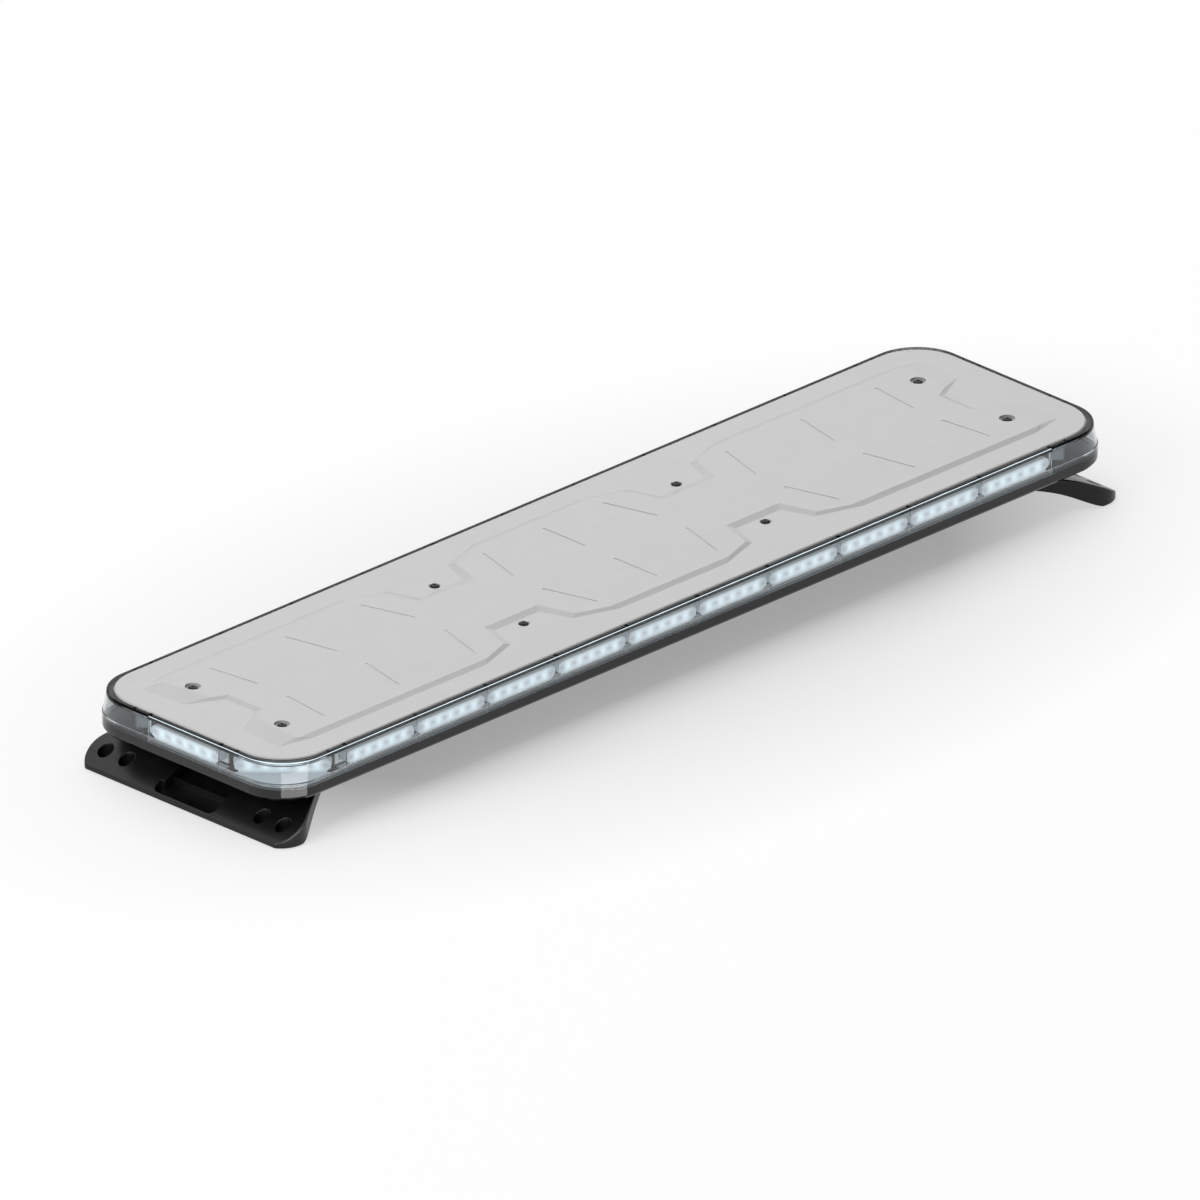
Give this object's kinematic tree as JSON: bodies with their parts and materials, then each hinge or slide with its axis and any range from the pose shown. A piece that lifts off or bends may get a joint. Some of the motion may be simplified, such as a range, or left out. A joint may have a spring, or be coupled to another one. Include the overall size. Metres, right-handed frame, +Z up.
{
  "type": "emergency light bar",
  "caption": "Slim roof light bar: rounded dark tray, clear lens segments with LED optics behind them, raised silver cover, two moulded feet with bolt holes.",
  "frame": {"origin": "on the vehicle roof under the middle of the bar", "axes": "+X along the bar, +Y across it, +Z up"},
  "size_m": [1.24, 0.3066, 0.0924],
  "materials": {
    "tray_paint": "dark grey powder coat, satin",
    "cover_paint": "silver-grey satin paint",
    "clear_lens": "clear moulded, glossy",
    "optic_acrylic": "clear moulded, cool white with the LEDs behind",
    "led_board": "white solder mask with LED packages",
    "bare_aluminium": "plain extruded",
    "circuit_board": "green solder mask",
    "foot_nylon": "dark moulded, slightly glossy",
    "seal_rubber": "soft black",
    "steel_fastener": "stainless",
    "gland_plastic": "black moulded"
  },
  "bodies": {
    "root": {"base_tray": "tray_paint", "breather_vent": "gland_plastic", "cable_gland": "gland_plastic", "control_board": "circuit_board", "cover_screws": "steel_fastener", "cover_seal": "seal_rubber", "foot_bolts": "steel_fastener", "foot_left": "foot_nylon", "foot_nuts": "steel_fastener", "foot_pad_left": "seal_rubber", "foot_pad_right": "seal_rubber", "foot_right": "foot_nylon", "gland_nut": "gland_plastic", "heat_sink_front": "bare_aluminium", "heat_sink_rear": "bare_aluminium", "led_board_corner_front_left": "led_board", "led_board_corner_front_right": "led_board", "led_board_corner_rear_left": "led_board", "led_board_corner_rear_right": "led_board", "led_board_end_left": "led_board", "led_board_end_right": "led_board", "led_board_front": "led_board", "led_board_rear": "led_board", "lens_corner_front_left": "clear_lens", "lens_corner_front_right": "clear_lens", "lens_corner_rear_left": "clear_lens", "lens_corner_rear_right": "clear_lens", "lens_end_left": "clear_lens", "lens_end_right": "clear_lens", "lens_front_1": "clear_lens", "lens_front_10": "clear_lens", "lens_front_2": "clear_lens", "lens_front_3": "clear_lens", "lens_front_4": "clear_lens", "lens_front_5": "clear_lens", "lens_front_6": "clear_lens", "lens_front_7": "clear_lens", "lens_front_8": "clear_lens", "lens_front_9": "clear_lens", "lens_rear_1": "clear_lens", "lens_rear_10": "clear_lens", "lens_rear_2": "clear_lens", "lens_rear_3": "clear_lens", "lens_rear_4": "clear_lens", "lens_rear_5": "clear_lens", "lens_rear_6": "clear_lens", "lens_rear_7": "clear_lens", "lens_rear_8": "clear_lens", "lens_rear_9": "clear_lens", "lens_seal": "seal_rubber", "optic_corner_front_left": "optic_acrylic", "optic_corner_front_right": "optic_acrylic", "optic_corner_rear_left": "optic_acrylic", "optic_corner_rear_right": "optic_acrylic", "optic_end_left": "optic_acrylic", "optic_end_right": "optic_acrylic", "optics_front": "optic_acrylic", "optics_rear": "optic_acrylic", "top_cover": "cover_paint"}
  },
  "joints": []
}
